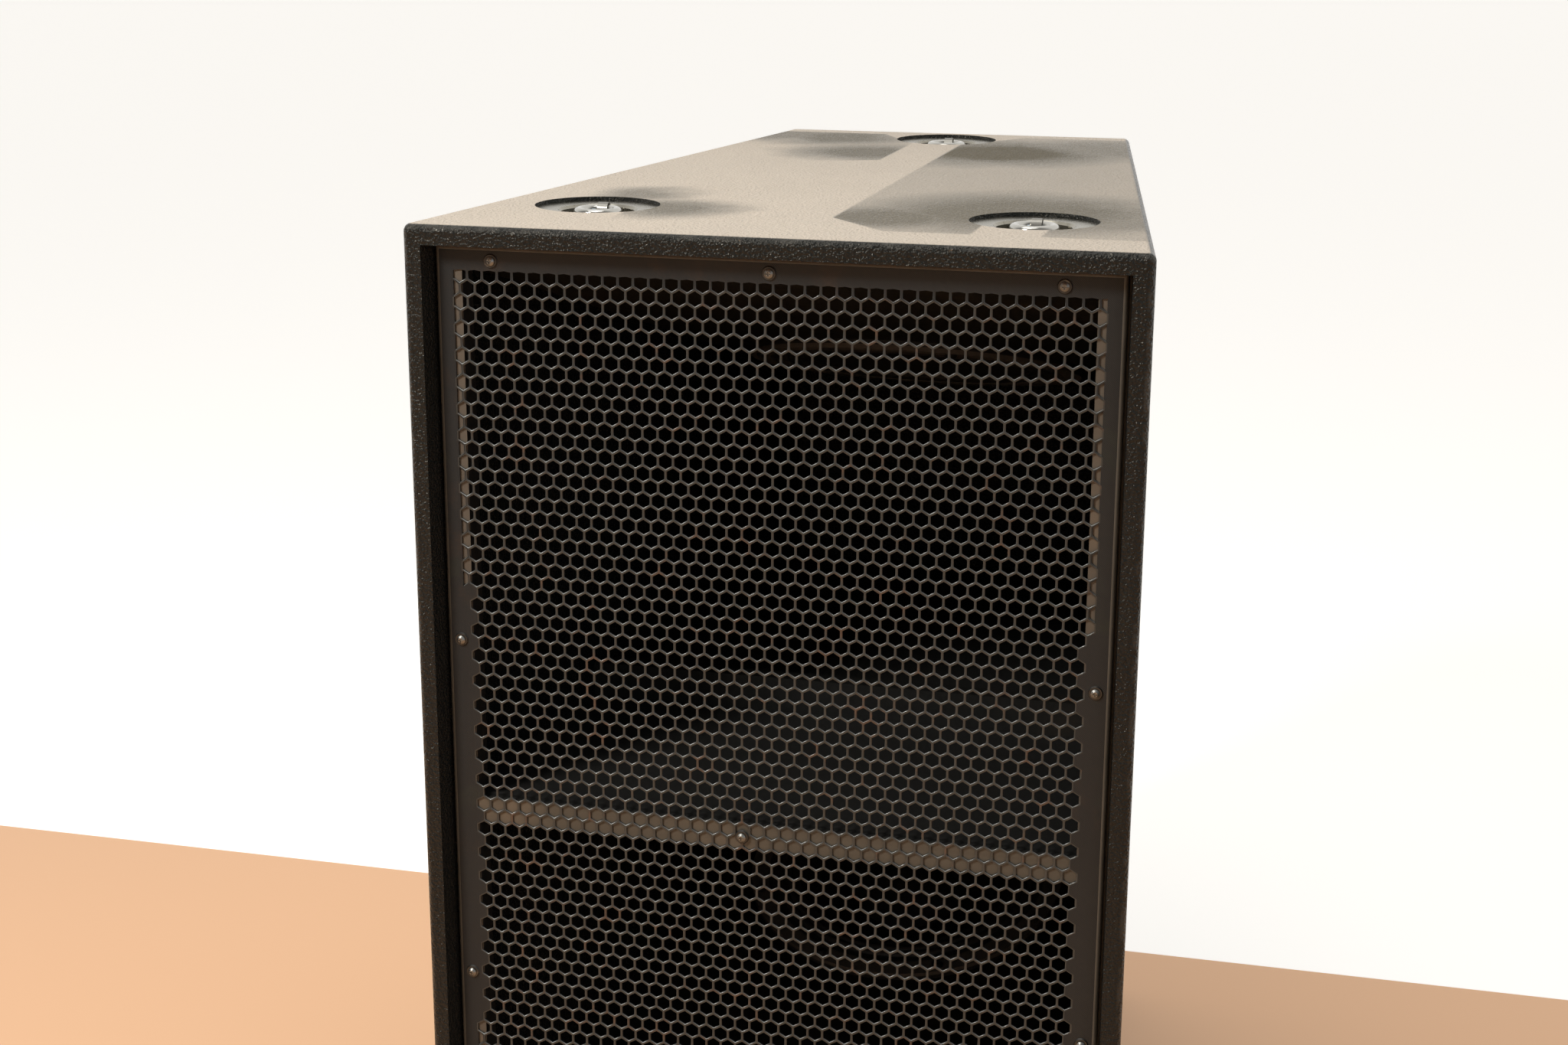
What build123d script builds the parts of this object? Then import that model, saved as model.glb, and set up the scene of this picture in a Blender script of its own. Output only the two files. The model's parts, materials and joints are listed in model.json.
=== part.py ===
from build123d import *
from math import cos, radians, sin, tan
import os

# Touring loudspeaker cabinet: a trapezoid plywood box with a perforated steel grille over two
# stacked chambers, each fed by one driver on a sloping baffle, and flush rigging points.
# Millimetres. +Z is up and the grille faces -Y. The origin is the centre of the underside.

# ---- driving dimensions ----
WIDTH = 541.4                   # across the sharp front corners, 539.75 once they are rounded
HEIGHT = 908.0
DEPTH = 762.0
TAPER_DEG = 7.5                 # each side leans in towards the rear
WALL = 15.0                     # plywood
EDGE_R = 6.0                    # rounding of every outer edge

GRILLE_SETBACK = 16.0           # front rim to the face of the grille
SHEET = 1.5                     # grille steel
GRILLE_HALF_W = 250.9
GRILLE_END_GAP = 1.5            # grille to top and bottom panels
GRILLE_FLANGE = 8.0             # folded edge, front to back
FOLD_R = 3.0

BATTEN_INNER_X = 231.0
BATTEN_DEPTH = 20.0
BATTEN_NOTCH = 8.5              # room behind the folded edge
END_BATTEN_H = 15.7

DIVIDER_T = 20.0
DIVIDER_SCREW_X = -20.0
BRACE_SETBACK = 265.0
BRACE_H = 30.0
BRACE_T = 18.0

BAFFLE_DEG = 17.0
BAFFLE_T = 15.0
DRIVER_SETBACK = 568.0          # front rim to the driver axis, along the floor

FRAME_R = 155.0                 # 12 inch driver
CUTOUT_R = 141.0
CONE_R = 112.0
CONE_DEPTH = 38.0
SURROUND_Z = 4.0                # front face of the basket's flange
COIL_R = 38.5
GAP_OUTER_R = 40.5
POLE_R = 36.5
DRIVER_SCREWS = 8

PAN_R = 48.0                    # opening of a rigging pan
PAN_LIP = 3.0                   # panel left above the pan's flange
PAN_FLANGE_R = 56.0
BOWL_R = 27.5
BOWL_FLOOR = 22.5               # below the panel's face
PAN_FRONT = (168.0, 140.0)      # from the centre line, from the front rim
PAN_REAR_SETBACK = 698.0
RING_R = 14.75                  # to the middle of the wire
WIRE_R = 3.75
RING_DEPTH = 5.6                # panel face to the middle of the wire
EYE_R = 4.5
STUD_R = 5.0                    # M10 thread in a bottom pan

HANDLE_SETBACK = 560.0
HANDLE_FROM_END = 100.0         # panel end to the middle of a side handle
HANDLE_POCKET = (140.0, 80.0, 45.0)
HANDLE_FLANGE = (170.0, 110.0)
GRIP_R = 9.0
SLEEVE_R = 12.0

PLATE_FROM_TOP = 130.0
PLATE_POCKET = (120.0, 84.0, 25.0)
PLATE_FLANGE = (156.0, 116.0)
PLATE_REBATE = 4.0              # the flange and its screws lie below the rear face
SOCKET_R = 12.0

FRONT = -DEPTH / 2
REAR = DEPTH / 2
MID_Z = HEIGHT / 2
NOTCH_X = GRILLE_HALF_W - FOLD_R - 0.1       # battens and divider clear the folded edge
NOTCH_Z = GRILLE_END_GAP + FOLD_R + 0.1      # the same at top and bottom, from the panel
SLOPE = tan(radians(BAFFLE_DEG))
LEAN = tan(radians(TAPER_DEG))
MIRROR_PLANE = Plane.XY.offset(MID_Z)

os.makedirs("parts", exist_ok=True)


# ---- helpers ----
def save(shape, node):
    """Write one node as STEP."""
    export_step(shape, f"parts/{node}.step")


def group(solids):
    """Separate solids that share one node."""
    return Compound(children=list(solids))


def half_width(y, inset=0.0):
    """Half the cabinet's width at depth y, less a wall of the given thickness."""
    return WIDTH / 2 - (y - FRONT) * LEAN - inset / cos(radians(TAPER_DEG))


def prism(y0, y1, z0, z1, inset=0.0):
    """Upright block between the two leaning side planes."""
    a, b = half_width(y0, inset), half_width(y1, inset)
    outline = Polyline((-a, y0), (a, y0), (b, y1), (-b, y1), close=True)
    return Pos(0, 0, z0) * extrude(make_face(outline), z1 - z0)


def block(x0, x1, y0, y1, z0, z1):
    """Plain box from its limits."""
    return Pos((x0 + x1) / 2, (y0 + y1) / 2, (z0 + z1) / 2) * Box(x1 - x0, y1 - y0, z1 - z0)


def turned(*points):
    """Solid of revolution about Z from (radius, height) points."""
    return revolve(Plane.XZ * make_face(Polyline(*points, close=True)), Axis.Z)


def tube(outer, inner, z0, z1):
    """Plain ring between two heights."""
    return turned((inner, z0), (outer, z0), (outer, z1), (inner, z1))


def around(count, radius, start_deg=0.0):
    """Places evenly spaced on a circle about Z."""
    return [Rot(0, 0, start_deg + i * 360 / count) * Pos(radius, 0, 0) for i in range(count)]


def pan_head_screw(head_r, head_h, shank_r, length):
    """Cross-recess screw standing on z = 0, its shank below."""
    crown_r = head_r * 0.55
    head = turned((0, 0), (head_r, 0), (head_r, head_h * 0.45), (crown_r, head_h), (0, head_h))
    tip = shank_r * 1.5
    shank = turned((0, 0), (0, -length), (shank_r, tip - length), (shank_r, 0))
    slot_w, slot_l = head_r * 0.24, head_r * 1.0
    recess = Box(slot_l, slot_w, head_h) + Box(slot_w, slot_l, head_h)
    return head + shank - Pos(0, 0, head_h) * recess


def pocket_pan(flange, pocket, sheet):
    """Pressed dish, open towards +Z, with its flange lying on z = 0."""
    length, width, deep = pocket
    rim = extrude(RectangleRounded(flange[0], flange[1], 8), sheet)
    shell = extrude(RectangleRounded(length, width, 10), -deep)
    hollow = extrude(RectangleRounded(length - 2 * sheet, width - 2 * sheet, 10 - sheet), sheet - deep)
    through = extrude(RectangleRounded(length - 2 * sheet, width - 2 * sheet, 10 - sheet), sheet)
    return rim + shell - hollow - through


# ---- cabinet panels ----
def pan_places():
    """Centres (x, y) of the three rigging points on one end panel."""
    x, setback = PAN_FRONT
    return [(-x, FRONT + setback), (x, FRONT + setback), (0, FRONT + PAN_REAR_SETBACK)]


def side_place(sign, z):
    """Frame on a side panel's outer face: X runs level to the rear, Z points out."""
    y = FRONT + HANDLE_SETBACK
    lean = radians(TAPER_DEG)
    outward = (sign * cos(lean), sin(lean), 0)
    along = (-sin(lean) * sign, cos(lean), 0)
    return Plane(origin=(sign * half_width(y), y, z), x_dir=along, z_dir=outward).location


def rear_plate_place():
    """Frame of the connector plate's flange, let into the rear face: Z points out."""
    origin = (0, REAR - PLATE_REBATE, HEIGHT - PLATE_FROM_TOP)
    return Plane(origin=origin, x_dir=(-1, 0, 0), z_dir=(0, 1, 0)).location


def make_top_panel(outer):
    panel = outer & prism(FRONT - 1, REAR + 1, HEIGHT - WALL, HEIGHT)
    for x, y in pan_places():
        panel -= Pos(x, y, HEIGHT - WALL / 2) * Cylinder(PAN_R, WALL + 2)
        panel -= Pos(x, y, HEIGHT - PAN_LIP - WALL / 2) * Cylinder(PAN_FLANGE_R, WALL)
        for dx, dy in backing_screw_offsets():
            panel -= Pos(x + dx, y + dy, HEIGHT - WALL + 4) * Cylinder(2, 8)
    return panel


def make_cabinet():
    outer = prism(FRONT, REAR, 0, HEIGHT)
    outer = fillet(outer.edges(), EDGE_R)
    top = make_top_panel(outer)
    save(top, "top_panel")
    save(mirror(top, about=MIRROR_PLANE), "bottom_panel")

    inside = prism(FRONT - 1, REAR + 1, WALL - 1, HEIGHT - WALL + 1, WALL)
    walls = (outer & prism(FRONT - 1, REAR + 1, WALL, HEIGHT - WALL)) - inside
    length, width, _ = HANDLE_POCKET
    for sign in (-1, 1):
        for z in handle_heights():
            cut = extrude(RectangleRounded(length, width, 10), -WALL * 2, both=True)
            walls -= side_place(sign, z) * cut
            for dx, dy in flange_screw_offsets(HANDLE_FLANGE):
                walls -= side_place(sign, z) * Pos(dx, dy, 0) * Cylinder(1.75, 26)
    left, right = sorted(walls.solids(), key=lambda solid: solid.center().X)
    save(left, "left_side_panel")
    save(right, "right_side_panel")

    rear = prism(REAR - WALL, REAR, WALL, HEIGHT - WALL, WALL)
    cut = extrude(Rectangle(PLATE_POCKET[0] + 1, PLATE_POCKET[1] + 1), -WALL * 2, both=True)
    rebate = extrude(RectangleRounded(PLATE_FLANGE[0] + 1, PLATE_FLANGE[1] + 1, 8.5), 2 * WALL)
    rear -= rear_plate_place() * (cut + rebate)
    for dx, dy in flange_screw_offsets(PLATE_FLANGE):
        rear -= rear_plate_place() * Pos(dx, dy, 0) * Cylinder(1.75, 26)
    save(rear, "rear_panel")


def make_divider():
    z0, z1 = MID_Z - DIVIDER_T / 2, MID_Z + DIVIDER_T / 2
    y0 = FRONT + GRILLE_SETBACK + SHEET
    board = prism(y0, REAR - WALL, z0, z1, WALL)
    board -= Pos(DIVIDER_SCREW_X, y0, MID_Z) * Rot(90, 0, 0) * Cylinder(1.75, 40)
    for sign in (-1, 1):
        x0, x1 = sorted((sign * NOTCH_X, sign * WIDTH))
        board -= block(x0, x1, y0 - 1, y0 + BATTEN_NOTCH, z0 - 1, z1 + 1)
    save(board, "centre_divider")
    y1 = FRONT + BRACE_SETBACK
    brace = prism(y1, y1 + BRACE_T, z1, z1 + BRACE_H, WALL)
    save(brace, "upper_divider_brace")
    save(mirror(brace, about=MIRROR_PLANE), "lower_divider_brace")


def baffle_top(y):
    """Height of the upper baffle's back, which faces the rear chamber."""
    return HEIGHT - WALL - (y - baffle_front()) * SLOPE


def baffle_front():
    return FRONT + GRILLE_SETBACK + SHEET + BATTEN_DEPTH


def driver_place():
    """Frame of the upper driver: origin on the baffle's face, Z towards the listener's side."""
    drop = BAFFLE_T / cos(radians(BAFFLE_DEG))
    y = FRONT + DRIVER_SETBACK
    facing = (0, -sin(radians(BAFFLE_DEG)), -cos(radians(BAFFLE_DEG)))
    return Plane(origin=(0, y, baffle_top(y) - drop), x_dir=(1, 0, 0), z_dir=facing).location


def make_baffles():
    y0, y1 = baffle_front(), REAR - WALL
    drop = BAFFLE_T / cos(radians(BAFFLE_DEG))
    outline = Polyline(
        (y0, baffle_top(y0)),
        (y1, baffle_top(y1)),
        (y1, baffle_top(y1) - drop),
        (y0, baffle_top(y0) - drop),
        close=True,
    )
    slab = extrude(Plane.YZ * make_face(outline), WIDTH, both=True)
    board = slab & prism(y0, y1, WALL, HEIGHT - WALL, WALL)
    board -= driver_place() * Cylinder(CUTOUT_R, 3 * BAFFLE_T)
    for place in around(DRIVER_SCREWS, driver_screw_r(), 22.5):
        board -= driver_place() * place * Cylinder(3, 3 * BAFFLE_T)
    save(board, "upper_baffle")
    save(mirror(board, about=MIRROR_PLANE), "lower_baffle")


# ---- grille and what it is screwed to ----
def grille_screw_places():
    """(x, z) of each grille screw on the face of the sheet."""
    end_z = 27.0
    side_x = 240.0
    side_from_mid = 137.5
    ends = [(x, z) for z in (end_z, HEIGHT - end_z) for x in (-208.0, 0.0, 208.0)]
    sides = [(s * side_x, MID_Z + d) for s in (-1, 1) for d in (-side_from_mid, side_from_mid)]
    return ends + sides + [(DIVIDER_SCREW_X, MID_Z)]


def on_grille(x, z, lift=0.0):
    """Frame on the grille's face, Z towards the front."""
    origin = (x, FRONT + GRILLE_SETBACK - lift, z)
    return Plane(origin=origin, x_dir=(1, 0, 0), z_dir=(0, -1, 0)).location


def make_grille():
    z0 = WALL + GRILLE_END_GAP
    z1 = HEIGHT - z0
    y0 = FRONT + GRILLE_SETBACK
    tray = block(-GRILLE_HALF_W, GRILLE_HALF_W, y0, y0 + GRILLE_FLANGE, z0, z1)
    front_edges = tray.faces().sort_by(Axis.Y)[0].edges()
    tray = fillet(front_edges, FOLD_R)
    inner_half = GRILLE_HALF_W - SHEET
    hollow = block(-inner_half, inner_half, y0 + SHEET, y0 + 99, z0 + SHEET, z1 - SHEET)
    tray -= fillet(hollow.faces().sort_by(Axis.Y)[0].edges(), FOLD_R - SHEET)
    for x, z in grille_screw_places():
        tray -= on_grille(x, z) * Cylinder(2.6, 4 * SHEET)
    save(tray, "grille")

    screws, cups = [], []
    washer_h = 1.2
    for x, z in grille_screw_places():
        cup = turned((2.7, 0), (5.4, 0), (4.7, washer_h), (2.7, washer_h))
        cups.append(on_grille(x, z) * cup)
        screws.append(on_grille(x, z, washer_h) * pan_head_screw(3.3, 2.2, 1.75, 20))
    save(group(screws), "grille_screws")
    save(group(cups), "grille_cup_washers")


def make_battens():
    y0 = FRONT + GRILLE_SETBACK + SHEET
    y1 = y0 + BATTEN_DEPTH
    y_notch = y0 + BATTEN_NOTCH
    bores = [on_grille(x, z) * Cylinder(1.75, 50) for x, z in grille_screw_places()]
    low = block(-WIDTH, WIDTH, y0 - 1, y_notch, WALL, WALL + NOTCH_Z)
    cuts = bores + [low, mirror(low, about=MIRROR_PLANE)]
    strips = []
    for sign in (-1, 1):
        outline = Polyline(
            (sign * BATTEN_INNER_X, y0),
            (sign * NOTCH_X, y0),
            (sign * NOTCH_X, y_notch),
            (sign * half_width(y_notch, WALL), y_notch),
            (sign * half_width(y1, WALL), y1),
            (sign * BATTEN_INNER_X, y1),
            close=True,
        )
        length = MID_Z - DIVIDER_T / 2 - WALL
        strip = cut_all(Pos(0, 0, WALL) * extrude(make_face(outline), length, dir=(0, 0, 1)), cuts)
        strips += [strip, mirror(strip, about=MIRROR_PLANE)]
    bar = block(-BATTEN_INNER_X, BATTEN_INNER_X, y0, y1, WALL, WALL + END_BATTEN_H)
    bar = cut_all(bar, cuts)
    save(group(strips), "side_grille_battens")
    save(group([bar, mirror(bar, about=MIRROR_PLANE)]), "end_grille_battens")


def cut_all(solid, tools):
    for tool in tools:
        solid = solid - tool
    return solid


# ---- drivers ----
def driver_screw_r():
    return (FRAME_R + CUTOUT_R) / 2 - 1.0


def make_basket():
    """Cast frame: flange, rim wall, six arms and the seat for the magnet."""
    body = turned(
        (FRAME_R, 0), (FRAME_R, 4), (131, 4), (131, -1), (136, -1), (136, -13),
        (74, -62), (45, -62), (45, -67), (75.5, -67), (140, -15.5), (140, 0),
    )
    arms = 6
    for i in range(arms):
        window = extrude(Plane.XY.offset(-56) * Trapezoid(84, 62, 66), 36)
        body -= Rot(0, 0, i * 360 / arms) * Pos(106, 0, 0) * Rot(0, 0, 90) * window
    body += tube(103, 88, -42, -39)
    for place in around(DRIVER_SCREWS, driver_screw_r(), 22.5):
        body -= place * Cylinder(3.2, 12)
    return body


def make_surround():
    """Pleated cloth edge: two half rolls between the frame's lip and the cone."""
    t = 0.8
    roll = 4.0
    lip_inner = 128.0
    z = SURROUND_Z
    edge = tube(137.5, lip_inner, z, z + t)
    for i in range(2):
        centre = lip_inner - roll + t - i * (2 * roll - t)
        ring = (Pos(centre, z) * Circle(roll)) - (Pos(centre, z) * Circle(roll - t))
        half = ring & (Pos(centre, z + roll) * Rectangle(4 * roll, 2 * roll))
        edge += revolve(Plane.XZ * half, Axis.Z)
    return edge + tube(centre - roll + t, CONE_R - 5, z, z + t)


def cone_face(radius):
    """Height of the cone's front face at a radius."""
    rim_r = CONE_R - 5
    share = (rim_r - radius) / (rim_r - COIL_R)
    return SURROUND_Z - share * CONE_DEPTH


def make_cone():
    """Straight-sided paper cone, rim up, neck on the coil former."""
    t = 1.2
    neck_r = COIL_R + 0.05
    return turned(
        (CONE_R, SURROUND_Z), (CONE_R - 5, SURROUND_Z), (neck_r, cone_face(neck_r)),
        (neck_r, cone_face(neck_r) - t), (CONE_R - 4.4, SURROUND_Z - t), (CONE_R, SURROUND_Z - t),
    )


def make_dust_cap():
    """Shallow dome glued to the cone over the coil."""
    rim_r, rise, t = 52.0, 13.0, 1.0
    rim_z = cone_face(rim_r) + 0.1
    radius = (rim_r**2 + rise**2) / (2 * rise)
    centre_z = rim_z + rise - radius
    ball = Pos(0, 0, centre_z) * Sphere(radius)
    core = Pos(0, 0, centre_z) * Sphere(radius - t)
    above = Pos(0, 0, rim_z + 50) * Box(200, 200, 100)
    return (ball - core) & above


def make_spider():
    """Corrugated cloth disc that centres the coil."""
    t = 0.6
    r0, r1 = COIL_R + 0.2, 101.0
    waves, z = 6, -38.4
    step = (r1 - r0) / (2 * waves)
    ridge = [(r0 + i * step, z + (1.6 if i % 2 else 0.0)) for i in range(2 * waves + 1)]
    back = [(r, h - t) for r, h in reversed(ridge)]
    return turned(*ridge, *back)


def make_driver_screws():
    seat = 8.0
    return [place * Pos(0, 0, seat) * pan_head_screw(5.4, 3.6, 2.95, 21)
            for place in around(DRIVER_SCREWS, driver_screw_r(), 22.5)]


def make_gasket():
    ring = tube(FRAME_R, 138, 4, 8)
    for place in around(DRIVER_SCREWS, driver_screw_r(), 22.5):
        ring -= place * Pos(0, 0, 6) * Cylinder(3.2, 8)
    return ring


def make_drivers():
    former = tube(COIL_R, COIL_R - 1, -86, -34)
    winding = tube(COIL_R + 1.2, COIL_R, -84, -66)
    pole = turned((12, -103), (84, -103), (84, -95), (POLE_R, -95), (POLE_R, -67), (12, -67))
    pieces = {
        "driver_basket": make_basket(),
        "driver_gasket": make_gasket(),
        "driver_surround": make_surround(),
        "driver_cone": make_cone(),
        "driver_dust_cap": make_dust_cap(),
        "driver_spider": make_spider(),
        "driver_voice_coil": former + winding,
        "driver_top_plate": tube(80, GAP_OUTER_R, -75, -67),
        "driver_magnet": tube(88, 52, -95, -75),
        "driver_back_plate": pole,
        "driver_screws": group(make_driver_screws()),
    }
    for name, piece in pieces.items():
        placed = driver_place() * piece
        save(placed, f"upper_{name}")
        save(mirror(placed, about=MIRROR_PLANE), f"lower_{name}")


# ---- rigging points ----
def backing_screw_offsets():
    return [(sx * 52, sy * 40) for sx in (-1, 1) for sy in (-1, 1)]


def make_pan():
    """Cast dish below a panel whose face is z = 0."""
    wall = 3.5
    floor_r = 24.0
    rim_z = -PAN_LIP - 0.5
    return turned(
        (0, -BOWL_FLOOR), (floor_r, -BOWL_FLOOR), (BOWL_R, -BOWL_FLOOR + 5), (BOWL_R + 1, rim_z - 2),
        (BOWL_R + 3, rim_z), (PAN_R, -PAN_LIP), (PAN_FLANGE_R, -PAN_LIP), (PAN_FLANGE_R, -WALL),
        (BOWL_R + wall, -WALL), (BOWL_R + wall, -BOWL_FLOOR + 3), (floor_r + 2, -BOWL_FLOOR - 4),
        (0, -BOWL_FLOOR - 4),
    )


def make_saddle():
    """Block on the bowl's floor with an eye for the ring's wire."""
    half = 4.0
    outer = RING_DEPTH - 0.1
    barrel = Pos(0, RING_R, -RING_DEPTH) * Rot(0, 90, 0) * Cylinder(outer, 2 * half)
    foot = block(-half, half, RING_R - outer, RING_R + outer - 1.5, -BOWL_FLOOR, -RING_DEPTH)
    eye = Pos(0, RING_R, -RING_DEPTH) * Rot(0, 90, 0) * Cylinder(EYE_R, 4 * half)
    return barrel + foot - eye


def make_rigging():
    pans_top, pans_bottom, plates, plate_screws, saddles, pads = [], [], [], [], [], []
    plain_pan = make_pan()
    boss = Pos(0, 0, -BOWL_FLOOR + 4) * Cylinder(9, 8)
    thread = Pos(0, 0, -BOWL_FLOOR) * Cylinder(STUD_R, 40)
    threaded_pan = plain_pan + boss - thread
    plate = block(-60, 60, -48, 48, -WALL - 4, -WALL) - Cylinder(BOWL_R + 4.5, 60)
    for dx, dy in backing_screw_offsets():
        plate -= Pos(dx, dy, -WALL) * Cylinder(2.2, 20)
    rest_top = -RING_DEPTH - WIRE_R - 0.05
    pad = block(-5, 5, -RING_R - 3.5, -RING_R + 3.5, -BOWL_FLOOR, rest_top)
    names = ("left", "right", "rear")
    for name, (x, y) in zip(names, pan_places()):
        at = Pos(x, y, HEIGHT)
        pans_top.append(at * plain_pan)
        saddles.append(at * make_saddle())
        pads.append(at * pad)
        ring = at * Pos(0, 0, -RING_DEPTH) * Torus(RING_R, WIRE_R)
        save(ring, f"{name}_lifting_ring")
        pans_bottom.append(mirror(at * threaded_pan, about=MIRROR_PLANE))
        screws = []
        for dx, dy in backing_screw_offsets():
            down = Pos(x + dx, y + dy, HEIGHT - WALL - 4) * Rot(180, 0, 0)
            screws.append(down * pan_head_screw(4.0, 2.4, 2.0, 11.5))
        plates += [at * plate, mirror(at * plate, about=MIRROR_PLANE)]
        plate_screws += screws + [mirror(screw, about=MIRROR_PLANE) for screw in screws]
    save(group(pans_top), "top_rigging_pans")
    save(group(pans_bottom), "bottom_rigging_pans")
    save(group(plates), "rigging_backing_plates")
    save(group(plate_screws), "rigging_plate_screws")
    save(group(saddles), "ring_saddles")
    save(group(pads), "ring_rest_pads")


# ---- side handles ----
def handle_heights():
    return (HANDLE_FROM_END, HEIGHT - HANDLE_FROM_END)


def flange_screw_offsets(flange):
    """Four screws, one near each corner of a pressed flange."""
    edge = 8.0
    return [(sx * (flange[0] / 2 - edge), sy * (flange[1] / 2 - edge)) for sx in (-1, 1) for sy in (-1, 1)]


def make_handles():
    length = HANDLE_POCKET[0] - 2 * SHEET
    depth = 13.0
    dish = pocket_pan(HANDLE_FLANGE, HANDLE_POCKET, SHEET)
    for dx, dy in flange_screw_offsets(HANDLE_FLANGE):
        dish -= Pos(dx, dy, 0) * Cylinder(2.0, 10)
    bar = Pos(0, 0, -depth) * Rot(0, 90, 0) * Cylinder(GRIP_R, length)
    sleeve = Rot(0, 90, 0) * (Cylinder(SLEEVE_R, 100) - Cylinder(GRIP_R, 101))
    sleeve = Pos(0, 0, -depth) * sleeve
    screw = Pos(0, 0, SHEET) * pan_head_screw(3.8, 2.2, 1.75, 14)
    dishes, bars, sleeves, screws = [], [], [], []
    for sign in (-1, 1):
        for z in handle_heights():
            at = side_place(sign, z)
            dishes.append(at * dish)
            bars.append(at * bar)
            sleeves.append(at * sleeve)
            screws += [at * Pos(dx, dy, 0) * screw for dx, dy in flange_screw_offsets(HANDLE_FLANGE)]
    save(group(dishes), "side_handle_dishes")
    save(group(bars), "side_handle_bars")
    save(group(sleeves), "side_handle_sleeves")
    save(group(screws), "side_handle_screws")


# ---- rear connector plate ----
def socket_places():
    """The two sockets on the recessed face, in the plate's own frame."""
    spacing = 50.0
    return [Pos(s * spacing / 2, 0, SHEET - PLATE_POCKET[2]) for s in (-1, 1)]


def make_connector_plate():
    plate = pocket_pan(PLATE_FLANGE, PLATE_POCKET, SHEET)
    for dx, dy in flange_screw_offsets(PLATE_FLANGE):
        plate -= Pos(dx, dy, 0) * Cylinder(2.0, 10)
    for place in socket_places():
        plate -= place * Cylinder(SOCKET_R, 10)

    square = extrude(RectangleRounded(29, 34, 3), 2.5)
    shell = square + Pos(0, 0, -12) * Cylinder(SOCKET_R - 0.1, 24)
    bore = Pos(0, 0, 2.5 - 10) * Cylinder(9.5, 20)
    core = Pos(0, 0, -9.25) * Cylinder(6.2, 16.5)
    key = block(-1.5, 1.5, 5, 10, -17.5, -3)
    shell = shell - bore + core + key
    slots = [place * Pos(0, 0, -5) * Box(2.2, 4.4, 9.5) for place in around(4, 4.4, 45)]
    shell = cut_all(shell, slots)
    tabs = [place * Pos(0, 0, -28) * Box(1.0, 4.0, 8) for place in around(4, 6.5, 45)]
    screw = pan_head_screw(2.4, 1.6, 1.5, 5)

    at = rear_plate_place()
    shells, contacts, screws = [], [], []
    for place in socket_places():
        body = shell
        for s in (-1, 1):
            hole = Pos(s * 11, s * 13.5, 0)
            body = body - hole * Cylinder(1.55, 12)
            plate -= place * hole * Cylinder(1.55, 12)
            screws.append(at * place * hole * Pos(0, 0, 2.5) * screw)
        shells.append(at * place * body)
        contacts += [at * place * tab for tab in tabs]
    outer_screw = Pos(0, 0, SHEET) * pan_head_screw(3.8, 2.2, 1.75, 14)
    screws += [at * Pos(dx, dy, 0) * outer_screw for dx, dy in flange_screw_offsets(PLATE_FLANGE)]
    save(at * plate, "rear_connector_plate")
    save(group(shells), "connector_sockets")
    save(group(contacts), "connector_terminals")
    save(group(screws), "connector_plate_screws")


make_cabinet()
make_divider()
make_baffles()
make_battens()
make_grille()
make_drivers()
make_rigging()
make_handles()
make_connector_plate()
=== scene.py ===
import json
from math import cos, pi, radians, sin

import bmesh
import bpy
from mathutils import Matrix, Vector


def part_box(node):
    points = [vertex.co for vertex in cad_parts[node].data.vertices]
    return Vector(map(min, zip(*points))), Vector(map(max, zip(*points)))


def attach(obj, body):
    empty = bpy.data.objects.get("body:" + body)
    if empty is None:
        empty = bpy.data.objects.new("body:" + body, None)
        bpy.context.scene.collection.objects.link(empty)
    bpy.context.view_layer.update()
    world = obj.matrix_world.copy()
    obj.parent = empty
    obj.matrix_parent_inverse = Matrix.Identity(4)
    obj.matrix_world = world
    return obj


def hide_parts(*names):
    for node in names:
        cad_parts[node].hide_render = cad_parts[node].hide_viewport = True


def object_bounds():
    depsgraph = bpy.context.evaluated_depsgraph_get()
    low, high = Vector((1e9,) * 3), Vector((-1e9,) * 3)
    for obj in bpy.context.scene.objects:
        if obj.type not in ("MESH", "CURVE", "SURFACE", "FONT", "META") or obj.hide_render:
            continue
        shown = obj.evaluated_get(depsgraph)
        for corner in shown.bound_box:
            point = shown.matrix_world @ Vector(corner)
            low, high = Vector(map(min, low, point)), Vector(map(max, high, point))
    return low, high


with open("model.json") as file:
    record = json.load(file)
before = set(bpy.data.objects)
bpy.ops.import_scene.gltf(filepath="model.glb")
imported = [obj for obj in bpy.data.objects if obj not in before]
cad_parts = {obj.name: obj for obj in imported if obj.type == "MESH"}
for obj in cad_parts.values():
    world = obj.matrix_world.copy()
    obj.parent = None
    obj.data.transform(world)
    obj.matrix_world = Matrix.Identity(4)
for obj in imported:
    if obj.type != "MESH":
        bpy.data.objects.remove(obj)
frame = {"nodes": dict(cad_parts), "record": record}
CAD_LOW, CAD_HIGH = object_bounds()
MM = 0.001

# ---- sizes shared by several pieces, in metres ----
FRONT_Y = CAD_LOW.y
TOP_Z = CAD_HIGH.z
MID_Z = (CAD_LOW.z + CAD_HIGH.z) / 2
ROOM_LIGHT = 0.22
WALL_LIGHT = 0.98
PAPER_EDGE_Y = 0.47             # where the white backdrop paper starts on the floor
FLOOR_SIZE = 60
FLOOR_GLOW = 0.07               # emission that stands in for light bounced in from outside the view
PAPER_GLOW = 0.41


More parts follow.
